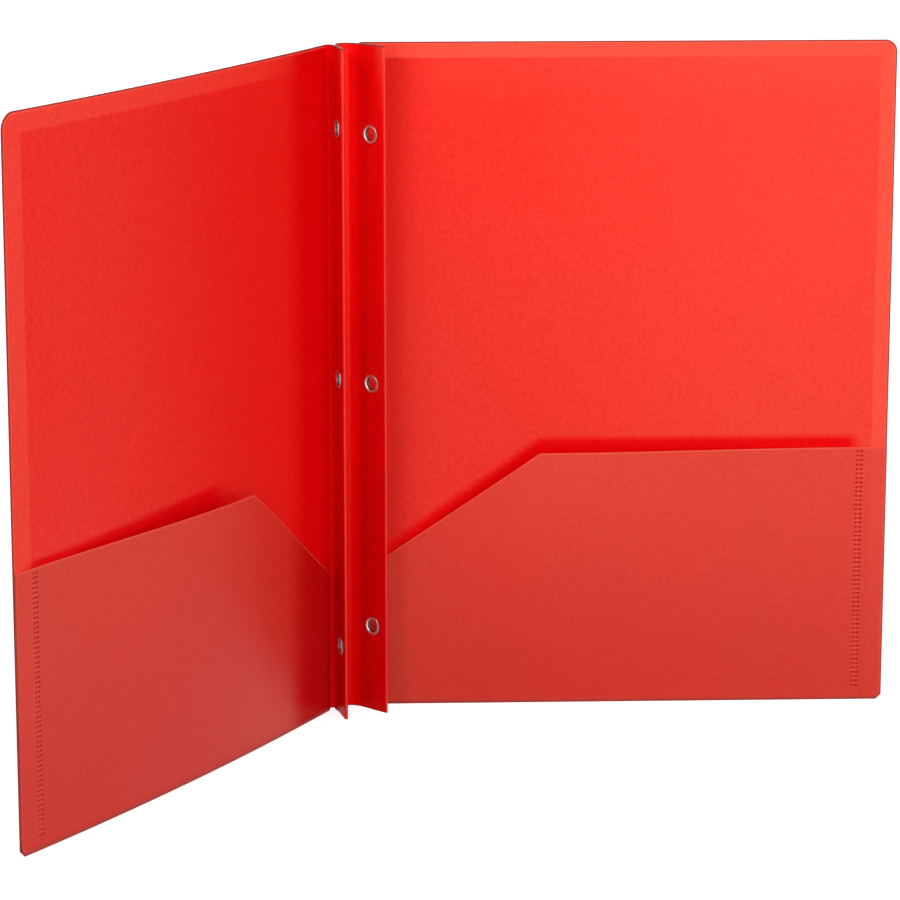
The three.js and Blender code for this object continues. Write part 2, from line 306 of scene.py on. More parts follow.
def plastic_sheet(name, low, high, pale, deep, through, share, shine, unevenness):
    """Translucent plastic with a fine grain, a mottling and a faint cloudiness, from low to high.
    Its borders are painted pale, as painted light, and its shaded places deep, as painted shade.
    Its cut edges are dark, its folds pale, partly as painted highlights, and its weld marks deeper
    red; the edges, marks and painted shade are also duller, and the cut edges' brown is also
    painted as shade in places. A share of it lets light through, coloured; shine is its gloss,
    and unevenness scales the mottling."""
    made, nodes, links = material(name)
    place = nodes.new("ShaderNodeTexCoord").outputs["Object"]
    cloud = noise(nodes, links, place, 22.0, 4.0, 0.55)
    mottle = noise(nodes, links, place, 520.0, 3.0, 0.7)
    grain = noise(nodes, links, place, 2600.0, 2.0, 0.6)
    normal = bumps(nodes, links, grain, 0.18, 0.00012)

    colour = ramp(nodes, links, cloud, [(0.3, low), (0.72, high)])
    # The pale band is painted light, the deep red painted shade, the pale lines partly painted
    # highlights and the brown partly painted shade
    for mark, target in (("band", pale), ("deep", deep), ("crease", PALE_AND_HIGHLIGHT_RED),
                         ("press", PRESSED_RED), ("rim", RIM_AND_SHADE_BROWN)):
        colour = tint(nodes, links, colour, attribute(nodes, mark), target)
    vary = RED_MOTTLE * unevenness
    mottled = nodes.new("ShaderNodeHueSaturation")
    links.new(colour, mottled.inputs["Color"])
    links.new(spread(nodes, links, mottle, 1 - vary, 1 + vary, 0.3, 0.7), mottled.inputs["Value"])

    dull = attribute(nodes, "deep")
    for mark in ("press", "rim"):
        dull = combine(nodes, links, "MAXIMUM", dull, attribute(nodes, mark))
    gloss = spread(nodes, links, dull, shine, DULL_SHINE * shine)
    vary = GLOSS_MOTTLE * unevenness
    gloss = combine(nodes, links, "MULTIPLY", gloss,
                    spread(nodes, links, mottle, 1 - vary, 1 + vary, 0.3, 0.7))

    surface = nodes.new("ShaderNodeBsdfPrincipled")
    surface.inputs["IOR"].default_value = 1.49
    surface.inputs["Specular Tint"].default_value = (1.0, 0.92, 0.58, 1.0)
    links.new(gloss, surface.inputs["Specular IOR Level"])
    links.new(mottled.outputs["Color"], surface.inputs["Base Color"])
    links.new(spread(nodes, links, cloud, 0.35, 0.41, 0.3, 0.7), surface.inputs["Roughness"])
    links.new(normal, surface.inputs["Normal"])
    glow = nodes.new("ShaderNodeBsdfTranslucent")
    glow.inputs["Color"].default_value = (*through, 1.0)
    links.new(normal, glow.inputs["Normal"])
    mix = nodes.new("ShaderNodeMixShader")
    mix.inputs["Fac"].default_value = share
    links.new(surface.outputs["BSDF"], mix.inputs[1])
    links.new(glow.outputs["BSDF"], mix.inputs[2])
    as_surface(nodes, links, mix.outputs["Shader"])
    return made


def plated_metal():
    """Bright metal, with painted shade where the eyelets' marks say so."""
    made, nodes, links = material("plated_metal")
    place = nodes.new("ShaderNodeTexCoord").outputs["Object"]
    cloud = noise(nodes, links, place, 700.0, 3.0, 0.5)
    fine = noise(nodes, links, place, 5200.0, 2.0, 0.6)
    colour = ramp(nodes, links, cloud, [(0.25, (0.80, 0.75, 0.72)), (0.75, (0.92, 0.87, 0.84))])
    colour = tint(nodes, links, colour, attribute(nodes, "rim"), (0.06, 0.045, 0.04))
    surface = nodes.new("ShaderNodeBsdfPrincipled")
    surface.inputs["Metallic"].default_value = 1.0
    links.new(colour, surface.inputs["Base Color"])
    links.new(spread(nodes, links, cloud, 0.30, 0.44), surface.inputs["Roughness"])
    links.new(bumps(nodes, links, fine, 0.1, 0.00004), surface.inputs["Normal"])
    as_surface(nodes, links, surface.outputs["BSDF"])
    return made


COVER_RED = plastic_sheet(
    "cover_red", low=(0.85, 0.008, 0.006), high=(0.88, 0.009, 0.007), pale=(0.97, 0.072, 0.044),
    deep=(0.79, 0.0015, 0.004), through=(0.99, 0.002, 0.004), share=0.25, shine=0.48,
    unevenness=1.0)
# A flap is painted a darker red with more white in it than a cover: painted shade, as its two
# layers let less light through, and a painted whitish reflection
FLAP_RED = plastic_sheet(
    "flap_red", low=(0.76, 0.029, 0.020), high=(0.79, 0.032, 0.022), pale=(0.86, 0.052, 0.040),
    deep=(0.63, 0.004, 0.005), through=(0.85, 0.005, 0.005), share=0.15, shine=0.50,
    unevenness=0.65)
# The fins and the web are painted a deeper, purer red than the covers, with less gloss: painted
# shade, as little white light reaches the folds of the spine
FIN_RED = plastic_sheet(
    "fin_red", low=(0.90, 0.0012, 0.0028), high=(0.96, 0.0018, 0.0034), pale=(1.0, 0.02, 0.012),
    deep=(0.73, 0.0006, 0.0028), through=(0.97, 0.0005, 0.003), share=0.22, shine=0.26,
    unevenness=1.0)
METAL = plated_metal()


# Mesh helpers

MARKS = ("band", "crease", "deep", "press", "rim")
SHEET_SHARP = math.radians(35)      # edges sharper than this are shaded as edges
METAL_SHARP = math.radians(50)


def add_object(name, verts, faces, paint, marks, sharp=SHEET_SHARP):
    """An object from points and faces. marks holds, by name, a value for each point."""
    mesh = bpy.data.meshes.new(name)
    mesh.from_pydata([tuple(v) for v in verts], [], faces)
    for mark in MARKS:
        values = marks.get(mark)
        layer = mesh.attributes.new(mark, "FLOAT", "POINT")
        if values:
            layer.data.foreach_set("value", values)
    work = bmesh.new()
    work.from_mesh(mesh)
    bmesh.ops.remove_doubles(work, verts=work.verts, dist=1e-7)
    bmesh.ops.recalc_face_normals(work, faces=work.faces)
    work.to_mesh(mesh)
    work.free()
    made = bpy.data.objects.new(name, mesh)
    bpy.context.scene.collection.objects.link(made)
    mesh.materials.append(paint)
    mesh.shade_smooth()
    mesh.set_sharp_from_angle(angle=sharp)
    return made


def sheet_mesh(name, columns, rows, point, paint, marked=None, coarse=None, fine=None):
    """A bent sheet as a closed shell; point(column, row, face) gives its two faces, and
    marked(column, row, face) its marks. With coarse, a set of rows, only the columns in
    fine, a range, hold every row, and the others hold the coarse rows."""
    fine = fine or range(0)
    kept = [r for r in range(rows) if coarse is None or r in coarse]
    index = {}
    verts = []
    marks = {mark: [] for mark in MARKS}
    for c in range(columns):
        for r in range(rows) if c in fine else kept:
            for face in (0, 1):
                index[c, r, face] = len(verts)
                verts.append(point(c, r, face))
                values = marked(c, r, face) if marked else {}
                for mark in MARKS:
                    marks[mark].append(values.get(mark, 0.0))

    faces = []
    for c in range(columns - 1):
        both = c in fine and c + 1 in fine
        steps = list(range(rows)) if both else kept
        for low, high in zip(steps, steps[1:]):
            for face in (0, 1):
                near = [(c, r, face) for r in range(high, low - 1, -1)]
                far = [(c + 1, r, face) for r in range(low, high + 1)]
                faces.append([index[place] for place in near + far if place in index])
        for r in (0, rows - 1):
            faces.append([index[c, r, 0], index[c, r, 1], index[c + 1, r, 1], index[c + 1, r, 0]])
    for c in (0, columns - 1):
        for low, high in zip(kept, kept[1:]):
            faces.append([index[c, low, 0], index[c, high, 0], index[c, high, 1], index[c, low, 1]])
    return add_object(name, verts, faces, paint, marks)


def with_lines(values, *lines):
    """Sorted values with some more lines among them."""
    merged = []
    for value in sorted([*values, *lines]):
        if not merged or value - merged[-1] > 0.02 * MM:
            merged.append(value)
    return merged


def fading(distance, edge, fade):
    """1 up to an edge, then down to 0 over the fade."""
    return 1.0 - smooth((distance - edge) / fade)


def turned(origin, angle, x, y, z):
    """A point given in a leaf's own plan, at its fold."""
    c, s = math.cos(angle), math.sin(angle)
    return Vector((origin.x + c * x - s * y, origin.y + s * x + c * y, z))


class Cover:
    """A cover leaf: its place, its hand, its bow and the widths of its borders."""

    def __init__(self, side, fold, angle, hand, bow, top_band, free_band):
        self.side = side
        self.body = f"{side}_cover"
        self.fold = fold
        self.angle = angle
        self.hand = hand
        self.bow = bow
        self.corner = CORNER[side]
        self.top_band = top_band
        self.free_band = free_band

    def point(self, distance, out, height):
        """A point at a distance from the fold, out in front of the sheet's middle."""
        turn = self.bow * distance / WIDTH
        half = turn / 2
        chord = distance if half == 0 else distance * math.sin(half) / half
        behind = FOLD_OFFSET - out
        x = chord * math.cos(half) - behind * math.sin(turn)
        y = chord * math.sin(half) + behind * math.cos(turn)
        return turned(self.fold, self.angle, x, self.hand * y, height)


RIGHT = Cover("right", RIGHT_FOLD, 0.0, 1, 0.0, RIGHT_BAND, RIGHT_BAND)
LEFT = Cover("left", LEFT_FOLD, LEFT_COVER_ANGLE, -1, LEFT_BOW, LEFT_TOP_BAND, LEFT_FREE_BAND)

# The bottom fold between a cover and its flap: its middle radius and the height of its centre
BEND = (SHEET + FLAP_GAP) / 2
BEND_HEIGHT = HALF + BEND


def bottom_edge(distance):
    """How far the small cut at the lower corner lifts the foot of a cover."""
    return max(0.0, distance - (WIDTH - CORNER_CUT))


def top_edge(cover, distance):
    past = max(0.0, distance - (WIDTH - cover.corner))
    return HEIGHT - cover.corner + math.sqrt(max(cover.corner ** 2 - past * past, 0.0))


def from_cut(cover, distance, height):
    """How far a point of a cover lies inside its free edge, its top edge and their corner."""
    inside = min(WIDTH - distance, HEIGHT - height)
    past = distance - (WIDTH - cover.corner)
    over = height - (HEIGHT - cover.corner)
    if past > 0 and over > 0:
        inside = cover.corner - math.hypot(past, over)
    return inside


def edge_lines(edge, *bands):
    """The places of the marks beside a cut edge, where a mesh needs rows or columns."""
    lines = [RIM, RIM + RIM_FADE, GLINT, GLINT + RIM_FADE]
    for band in bands:
        lines += [band, band + BAND_FADE]
    return [abs(edge - line) for line in lines]


def glint(inside):
    """The paler line just inside the dark line of a cut edge, a painted highlight."""
    return GLINT_PALE * (1 - fading(inside, RIM, RIM_FADE)) * fading(inside, GLINT, RIM_FADE)


def rising(distance, start, reach):
    """0 up to a start, then up to 1 over the reach."""
    return smooth((distance - start) / reach)


def spine_fall(distance):
    """1 close to the right fin, falling off farther out, and 0 in the bend of the fold."""
    fall = math.exp(-max(0.0, distance - SPINE_START) / SPINE_SCALE)
    return fall * rising(distance, *FOLD_END)


def spine_shade(cover, distance):
    """How deep the red is at a distance from a cover's fold, beside the fin."""
    if cover is LEFT:
        return fading(distance, *LEFT_SPINE_END)
    far = SPINE_FAR * fading(distance, *SPINE_FAR_END) * rising(distance, *FOLD_END)
    return SPINE_SHADE * spine_fall(distance) + far


def brown_shade(cover, distance, height):
    """How much of the rims' brown is painted on the right cover as shade: beside its fin, where the
    fin's shadow falls, and towards its pocket.
    """
    if cover is LEFT:
        return 0.0
    return FIN_SHADOW_BROWN * spine_fall(distance) + COVER_SHADE_BROWN * fading(height, *BROWN_SHADE_HEIGHT)


def mouth_shade(cover, distance, height):
    """How deep the red is above the mouth of a pocket. On the left it widens towards the
    shoulder of the flap and ends there."""
    over = height - flap_edge(distance)
    shade = fading(distance, WELD_LINE - MOUTH_END[cover.side], MOUTH_END_FADE[cover.side])
    if cover is LEFT:
        past_shoulder = rising(distance, FLAP_SHOULDER, WELD_LINE - FLAP_SHOULDER)
        over /= LEFT_MOUTH_WIDTH - LEFT_MOUTH_TAPER * past_shoulder
        shade *= rising(distance, *LEFT_MOUTH_START)
    return shade * fading(over, MOUTH_SHADE[cover.side], MOUTH_FADE)


def cover_band(cover, distance, height):
    """How pale a cover is painted, as painted light: in its borders, and on the right also
    towards the free edge and, a little, below the top border."""
    along_top = fading(HEIGHT - height, cover.top_band, BAND_FADE)
    if cover is LEFT:
        along_top *= rising(distance, *LEFT_TOP_START)
    else:
        along_top *= 1 - TOP_LOSS + TOP_LOSS * rising(distance, *RIGHT_TOP_START)
    border = max(fading(WIDTH - distance, cover.free_band, BAND_FADE), along_top)
    border *= BAND_PALE[cover.side]
    if cover is LEFT:
        return border
    below = BELOW_TOP * fading(HEIGHT - height, *BELOW_TOP_DROP)
    below *= rising(distance, *BELOW_TOP_START)
    return max(border, FREE_PALE * rising(distance, *FREE_PALE_START) + below)


def add_cover(cover):
    """A cover: its rows follow the top edge, so that the lines along that edge are crisp.
    The rows are closer by the top corner and about the mouth of the pocket."""
    corner_start = WIDTH - cover.corner
    distances = with_lines(
        evenly(STRIP, corner_start, COVER_COLUMNS),
        *(corner_start + cover.corner * math.sin(math.pi / 2 / CORNER_STEPS * i)
          for i in range(1, CORNER_STEPS + 1)),
        WIDTH - CORNER_CUT, *edge_lines(WIDTH, cover.free_band))
    drops = with_lines(
        evenly(0, HEIGHT - BEND_HEIGHT, COVER_ROWS),
        *(drop * MM for drop in TOP_DROPS),
        *edge_lines(0, cover.top_band),
        *(HEIGHT - FLAP_TOP - MOUTH_ROWS_START + MOUTH_ROW * i for i in range(MOUTH_ROWS)))
    half_way = (HEIGHT - BEND_HEIGHT) / 2

    def place(c, r):
        distance = distances[c]
        drop = drops[-1 - r]
        top = top_edge(cover, distance)
        lost = bottom_edge(distance) + HEIGHT - top
        if drop > half_way:
            drop -= lost * (drop / half_way - 1)
        return distance, top - drop

    def point(c, r, face):
        distance, height = place(c, r)
        return cover.point(distance, HALF if face == 0 else -HALF, height)

    def marked(c, r, face):
        distance, height = place(c, r)
        inside = from_cut(cover, distance, height)
        marks = {
            "rim": fading(inside, RIM, RIM_FADE),
            "crease": glint(inside),
            "band": cover_band(cover, distance, height),
            "deep": OUTER_SHADE * fading(distance, *OUTER_END),
        }
        # On the front: painted shade beside the fin and above the pocket's mouth, and the brown
        # painted as shade
        if face == 0:
            mouth = mouth_shade(cover, distance, height)
            marks["deep"] = max(spine_shade(cover, distance) * (1 - marks["band"]), mouth)
            marks["rim"] = max(marks["rim"], brown_shade(cover, distance, height) * (1 - mouth))
        return marks

    piece = sheet_mesh(
        f"{cover.side}_cover_sheet", len(distances), len(drops), point, COVER_RED, marked)
    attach(piece, cover.body)
    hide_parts(f"{cover.side}_cover")
    return piece


# The weld: a ladder of pressed marks, numbered from the top
WELD_LINE = WIDTH - WELD_INSET
WELD_EDGE = WELD_LINE - WELD_WIDTH / 2
WELD_FIRST = FLAP_TOP - WELD_TOP_INSET - WELD_MARK / 2
WELD_COUNT = 1 + math.floor((WELD_FIRST - WELD_MARK / 2 - WELD_BOTTOM_INSET) / WELD_PITCH)
WELD_LAST = WELD_FIRST - (WELD_COUNT - 1) * WELD_PITCH
WELD_ROWS = 8            # rows of the mesh to a mark
WELD_REACH = 2.6 * MM    # the mesh is fine this far to each side of the weld line

# A flap takes up its own form over this height above the bottom fold
FLAP_EASE = 4 * MM

# A flap's edges are marked more weakly than a cover's, and its shade by the spine reaches farther.
# FLAP_RIM also sets the painted shade of its bottom fold, and FLAP_LIP the painted highlight on its
# mouth's lip
FLAP_RIM = 0.7
FLAP_LIP = 0.55
FLAP_GLINT = 0.5
FOOT_SHADE_END = (0.3 * MM, 0.9 * MM)
FLAP_SHADE_REACH = 1.25  # times as far as on its cover


def flap_out(distance, height):
    """How far a flap's middle stands in front of its cover's."""
    towards_weld = smooth((WELD_EDGE - distance) / (WELD_EDGE - FLAP_SHOULDER))
    towards_spine = smooth((FLAP_SHOULDER - distance) / FLAP_SHOULDER)
    across = towards_weld * (1 - (1 - FLAP_SPINE_SHARE) * towards_spine)
    up = math.sin(math.pi / 2 * min(1.0, height / FLAP_TOP))
    return SHEET + FLAP_GAP * 0.3 + FLAP_STANDOFF * across * up


def flap_edge(distance):
    """The height of a pocket's mouth, with its slanted part by the spine."""
    slope = (FLAP_TOP - FLAP_SPINE_TOP) / FLAP_SHOULDER
    return min(FLAP_TOP, FLAP_SPINE_TOP + slope * distance)


def weld_mark(cover, distance, height):
    """How deep the weld is pressed at a point, how dark it is, and how bright its halo is."""
    across = distance - WELD_LINE
    number = round((WELD_FIRST - height) / WELD_PITCH)
    if not 0 <= number < WELD_COUNT or abs(across) > WELD_REACH:
        return 0.0, 0.0, 0.0
    up = height - (WELD_FIRST - number * WELD_PITCH)
    dot = 0.0
    for side, weight in zip((-1, 1), DOT_WEIGHTS[cover.side]):
        away = math.hypot(across - side * DOT_SPREAD, up * DOT_SHAPE)
        dot += weight * math.exp(-(away / DOT_RADIUS) ** 2)
    bar = math.exp(-(up / BAR_RADIUS) ** 2) * fading(abs(across), *BAR_END)
    between = math.exp(-((abs(up) - WELD_PITCH / 2) / HALO_RADIUS) ** 2)
    halo = HALO_PALE * between * fading(abs(across), *HALO_END)
    return DOT_DEPTH * dot + BAR_DEPTH * bar, min(1.0, DOT_DARK * dot + BAR_DARK * bar), halo


def add_flap(cover):
    """A pocket flap: it turns through the bottom fold, rises to its mouth and carries the weld."""
    cut_start = WIDTH - CORNER_CUT
    weld_columns = evenly(WELD_LINE - WELD_REACH, WELD_LINE + WELD_REACH, WELD_COLUMNS)
    distances = with_lines(
        [*evenly(FLAP_INSET, FLAP_SHOULDER, FLAP_SLANT_COLUMNS),
         *evenly(FLAP_SHOULDER, weld_columns[0], FLAP_COLUMNS)[1:-1],
         *weld_columns],
        *evenly(weld_columns[-1], cut_start, 8)[1:],
        *evenly(cut_start, WIDTH, 5)[1:],
        FLAP_INSET + RIM, *edge_lines(WIDTH))
    first = min(range(len(distances)), key=lambda i: abs(distances[i] - weld_columns[0]))
    fine = range(first, first + len(weld_columns))
    weld_bottom = WELD_LAST - WELD_PITCH / 2
    weld_top = WELD_FIRST + WELD_PITCH / 2
    levels = evenly(BEND_HEIGHT, weld_bottom, FLAP_FOOT_ROWS)[1:]
    levels += evenly(weld_bottom, weld_top, WELD_COUNT * WELD_ROWS)[1:]
    lip_levels = (FLAP_TOP - RIM - RIM_FADE, FLAP_TOP - RIM, FLAP_TOP)
    coarse_levels = {
        *levels[:FLAP_FOOT_ROWS], *levels[FLAP_FOOT_ROWS - 1::WELD_ROWS], *lip_levels}
    levels = sorted(level for level in [*levels, *lip_levels] if level <= FLAP_TOP)
    rows = BEND_STEPS + 1 + len(levels)
    coarse = set(range(BEND_STEPS + 1))
    coarse |= {BEND_STEPS + 1 + i for i, level in enumerate(levels) if level in coarse_levels}

    def place(c, r):
        """The height of a row above the bend: the rows of the lip follow the mouth."""
        distance = distances[c]
        foot = BEND_HEIGHT + bottom_edge(distance)
        level = levels[r - BEND_STEPS - 1]
        edge = flap_edge(distance)
        rim = lip_levels[0]
        if level >= rim:
            return edge - (FLAP_TOP - level)
        share = (level - BEND_HEIGHT) / (rim - BEND_HEIGHT)
        return foot + (edge - (FLAP_TOP - rim) - foot) * share

    def point(c, r, face):
        distance = distances[c]
        side = HALF if face == 0 else -HALF
        foot = BEND_HEIGHT + bottom_edge(distance)
        if r <= BEND_STEPS:
            turn = math.pi * r / BEND_STEPS
            radius = BEND + side
            return cover.point(
                distance, BEND - radius * math.cos(turn), foot - radius * math.sin(turn))
        height = place(c, r)
        ease = rising(height, foot, FLAP_EASE)
        out = 2 * BEND + (flap_out(distance, height) - 2 * BEND) * ease
        if face == 0:
            out -= weld_mark(cover, distance, height)[0]
        return cover.point(distance, out + side, height)

    def marked(c, r, face):
        distance = distances[c]
        if r <= BEND_STEPS:
            # The bottom fold is painted darker: painted shade on its underside
            dark = FLAP_RIM * smooth(2 * r / BEND_STEPS)
            return {"rim": max(dark, fading(WIDTH - distance, RIM, RIM_FADE))}
        height = place(c, r)
        foot = BEND_HEIGHT + bottom_edge(distance)
        side_cut = WIDTH - distance
        if distance > cut_start:
            side_cut = min(side_cut, (height - foot) / math.sqrt(2))
        lip = fading(flap_edge(distance) - height, RIM, RIM_FADE)
        # Painted shade just above the bottom fold
        above_foot = fading(height - foot, *FOOT_SHADE_END)
        _, press, halo = weld_mark(cover, distance, height)
        # The lip's and the cut side's pale lines are painted highlights, and the band is painted
        # light
        marks = {
            "crease": max(FLAP_LIP * lip, halo, FLAP_GLINT * glint(side_cut)),
            "band": FLAP_BAND_PALE * fading(WIDTH - distance, cover.free_band, BAND_FADE),
            "rim": FLAP_RIM * max(fading(side_cut, RIM, RIM_FADE), above_foot),
        }
        if face == 0:
            # Painted shade by the spine and towards the foot, on the right also in brown
            low = smooth(1 - height / FLAP_TOP)
            beside = spine_shade(cover, distance / FLAP_SHADE_REACH)
            beside *= FLAP_SPINE_SHADE[cover.side]
            marks["press"] = press
            marks["deep"] = max(beside, FLAP_FOOT_SHADE * low)
            if cover is RIGHT:
                marks["rim"] = max(marks["rim"], FLAP_SHADE_BROWN * low)
        return marks

    piece = sheet_mesh(
        f"{cover.side}_flap_sheet", len(distances), rows, point, FLAP_RED, marked, coarse, fine)
    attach(piece, cover.body)
    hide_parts(f"{cover.side}_pocket_flap")
    return piece


# Fins: a line in plan with the cover's fold at 0,0 and the crest along +X

WEB_FOLD = Vector((OUTER_PLY - INNER_PLY, -FIN_SPREAD))
PLY_OFFSET = (PLY_GAP + SHEET) / 2
FIN_MIDDLE = -FIN_SPREAD / 2
EYELET_CENTRE = Vector((OUTER_PLY - EYELET_FROM_CREST, FIN_MIDDLE))
EYELET_SEAT = PLY_OFFSET + HALF     # the plies' outer faces lie this far from the fin's middle
EYELET_LIP = 0.75 * MM              # radius of the turn from the bore to the flange


def bezier(a, b, c, d, count):
    """Points along a curve from a to d that leaves towards b and arrives from c."""
    points = []
    for t in evenly(0, 1, count):
        s = 1 - t
        points.append(a * s ** 3 + b * 3 * s * s * t + c * 3 * s * t * t + d * t ** 3)
    return points


def fin_line():
    """The middle line of a fin's sheet in plan: the outer ply with its flared fold, the turn at
    the crest, and the inner ply back to the web's fold."""
    along = Vector((math.cos(FLARE), -math.sin(FLARE)))
    away = Vector((-math.sin(FLARE), -math.cos(FLARE)))
    reach = FLARE_LENGTH / 3
    outer_start = along * STRIP + away * FOLD_OFFSET
    inner_start = Vector((outer_start.x, -outer_start.y)) + WEB_FOLD
    outer_end = Vector((FLARE_LENGTH, FIN_MIDDLE + PLY_OFFSET))
    inner_end = Vector((FLARE_LENGTH + WEB_FOLD.x, FIN_MIDDLE - PLY_OFFSET))
    lean = Vector((reach, 0))
    inner_along = Vector((along.x, -along.y))
    outer = bezier(outer_start, outer_start + along * reach, outer_end - lean, outer_end, 12)
    inner = bezier(inner_end, inner_end - lean, inner_start + inner_along * reach, inner_start, 12)
    turn_x = OUTER_PLY - HALF - PLY_OFFSET
    turn_steps = 14
    turn = []
    for i in range(turn_steps + 1):
        a = math.pi / 2 - math.pi * i / turn_steps
        turn.append(Vector((turn_x + PLY_OFFSET * math.cos(a),
                            FIN_MIDDLE + PLY_OFFSET * math.sin(a))))
    straight_out = [outer_end.lerp(turn[0], t) for t in evenly(0, 1, 4)[1:4]]
    straight_in = [turn[-1].lerp(inner_end, t) for t in evenly(0, 1, 5)[1:5]]
    return outer + straight_out + turn + straight_in + inner


def line_normals(points):
    normals = []
    for i, _ in enumerate(points):
        d = points[min(len(points) - 1, i + 1)] - points[max(0, i - 1)]
        d.normalize()
        normals.append(Vector((-d.y, d.x)))
    return normals


class Fin:
    """A fin: its place and its hand."""

    def __init__(self, side, fold, angle, hand):
        self.side = side
        self.fold = fold
        self.angle = angle
        self.hand = hand

    def point(self, p, height):
        """A point p of the fin's plan, at a height."""
        return turned(self.fold, self.angle, p.x, self.hand * p.y, height)


RIGHT_FIN = Fin("right", RIGHT_FOLD, RIGHT_FIN_ANGLE, 1)
LEFT_FIN = Fin("left", LEFT_FOLD, LEFT_FIN_ANGLE, -1)


def full_rises():
    """Rows of a leaf that runs the whole height, with the lines along its two cut ends."""
    return with_lines(
        evenly(0, HEIGHT, 40), RIM, RIM + RIM_FADE, HEIGHT - RIM, HEIGHT - RIM - RIM_FADE)


def end_rim(height):
    return fading(min(height, HEIGHT - height), RIM, RIM_FADE)


def fin_shade(height):
    """How deep the red of the spine is at a height: little light reaches its foot."""
    return FIN_FOOT_SHADE * smooth(1 - height / (0.9 * HEIGHT))


def add_fin(fin):
    """A fin's folded sheet, with a painted highlight near the top of its crest."""
    line = fin_line()
    normals = line_normals(line)
    rises = full_rises()

    def point(c, r, face):
        side = HALF if face == 0 else -HALF
        return fin.point(line[c] + normals[c] * side, rises[r])

    def marked(c, r, face):
        from_crest = OUTER_PLY - line[c].x
        from_top = HEIGHT - rises[r]
        # A painted highlight near the top of the crest; the crest's pale line is partly the fold's
        # whitening, partly a painted highlight
        top_highlight = sum(pale * fading(from_crest, *beside) * fading(from_top, *below)
                   for pale, beside, below in CREST_TOP_HIGHLIGHT)
        return {
            "crease": max(CREST_PALE[fin.side] * fading(from_crest, CREST_LINE, CREST_FADE), top_highlight),
            "deep": fin_shade(rises[r]),
            "rim": end_rim(rises[r]),
        }

    piece = sheet_mesh(f"{fin.side}_fin_sheet", len(line), len(rises), point, FIN_RED, marked)
    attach(piece, f"{fin.side}_fin")
    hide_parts(f"{fin.side}_fin")
    return piece


def punch(piece, fin, heights):
    """Cuts the eyelet holes through both plies of a fin."""
    radius = EYELET_HOLE / 2 + EYELET_WALL + 0.05 * MM
    cutter = bmesh.new()
    for height in heights:
        centre = fin.point(EYELET_CENTRE, height)
        axis = fin.point(Vector((0, 1)), 0) - fin.point(Vector((0, 0)), 0)
        spin = axis.to_track_quat("Z", "Y").to_matrix().to_4x4()
        bmesh.ops.create_cone(
            cutter, cap_ends=True, segments=40, radius1=radius, radius2=radius,
            depth=FIN_SPREAD, matrix=Matrix.Translation(centre) @ spin)
    mesh = bpy.data.meshes.new("punch")
    cutter.to_mesh(mesh)
    cutter.free()
    tool = bpy.data.objects.new("punch", mesh)
    bpy.context.scene.collection.objects.link(tool)
    cut = piece.modifiers.new("punch", "BOOLEAN")
    cut.operation = "DIFFERENCE"
    cut.solver = "EXACT"
    cut.object = tool
    depsgraph = bpy.context.evaluated_depsgraph_get()
    cut_mesh = bpy.data.meshes.new_from_object(piece.evaluated_get(depsgraph))
    piece.modifiers.clear()
    piece.data = cut_mesh
    piece.data.shade_smooth()
    piece.data.set_sharp_from_angle(angle=SHEET_SHARP)
    bpy.data.objects.remove(tool)


def eyelet_profile():
    """Half of an eyelet's closed section, from its bore out over the lip and the rolled rim to
    the seat: radius and height above the fin's middle."""
    inner = EYELET_HOLE / 2
    top = EYELET_SEAT + FLANGE_THICKNESS * 1.3
    steps = 8
    profile = []
    for i in range(steps + 1):
        a = math.pi / 2 * i / steps
        profile.append(
            (inner + EYELET_LIP * (1 - math.cos(a)), top - EYELET_LIP * (1 - math.sin(a))))
    rim = 0.5 * (top - EYELET_SEAT)
    for i in range(steps + 1):
        a = math.pi / 2 - math.pi * i / steps
        profile.append(
            (FLANGE / 2 - rim + rim * math.cos(a), EYELET_SEAT + rim + rim * math.sin(a)))
    profile.append((inner + EYELET_WALL, EYELET_SEAT - 0.02 * MM))
    return profile


def add_eyelet(fin, place, height):
    """A rolled eyelet seated on both plies: a barrel with a rounded rim at each end."""
    half = eyelet_profile()
    profile = half + [(r, -h) for r, h in reversed(half)]
    around = 56
    verts = []
    faces = []
    shade = []
    for i in range(around):
        a = 2 * math.pi * i / around
        for r, h in profile:
            p = Vector((EYELET_CENTRE.x + r * math.cos(a), EYELET_CENTRE.y + h))
            verts.append(fin.point(p, height + r * math.sin(a)))
            # Painted shade in the barrel, at the seat and at the flange's rolled edge
            shade.append(max(
                BARREL_SHADE * fading(r - EYELET_HOLE / 2, *SHADE_END),
                SEAT_SHADE * fading(abs(h) - EYELET_SEAT, *SHADE_END),
                EDGE_SHADE[fin.side] * fading(FLANGE / 2 - r, *EDGE_END)))
    n = len(profile)
    for i in range(around):
        j = (i + 1) % around
        for k in range(n):
            m = (k + 1) % n
            faces.append((i * n + k, j * n + k, j * n + m, i * n + m))
    piece = add_object(
        f"{fin.side}_eyelet_{place}_ring", verts, faces, METAL, {"rim": shade}, METAL_SHARP)
    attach(piece, f"{fin.side}_fin")
    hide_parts(f"{fin.side}_eyelet_{place}")
    return piece


def eyelet_heights(side):
    heights = {}
    for place in ("top", "middle", "bottom"):
        low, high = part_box(f"{side}_eyelet_{place}")
        heights[place] = (low.z + high.z) / 2
    return heights


# The spine web and the strips that bend at the folds

def web_point(across, out, height):
    return turned(RIGHT_SPINE, WEB_ANGLE, across, out, height)


def add_web():
    xs = evenly(STRIP, WEB_WIDTH - STRIP, 4)
    rises = full_rises()

    def point(c, r, face):
        return web_point(xs[c], -FOLD_OFFSET + (HALF if face == 0 else -HALF), rises[r])

    def marked(c, r, face):
        return {"rim": end_rim(rises[r]), "deep": fin_shade(rises[r])}

    piece = sheet_mesh("spine_web_sheet", len(xs), len(rises), point, FIN_RED, marked)
    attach(piece, "spine_web")
    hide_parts("spine_web")


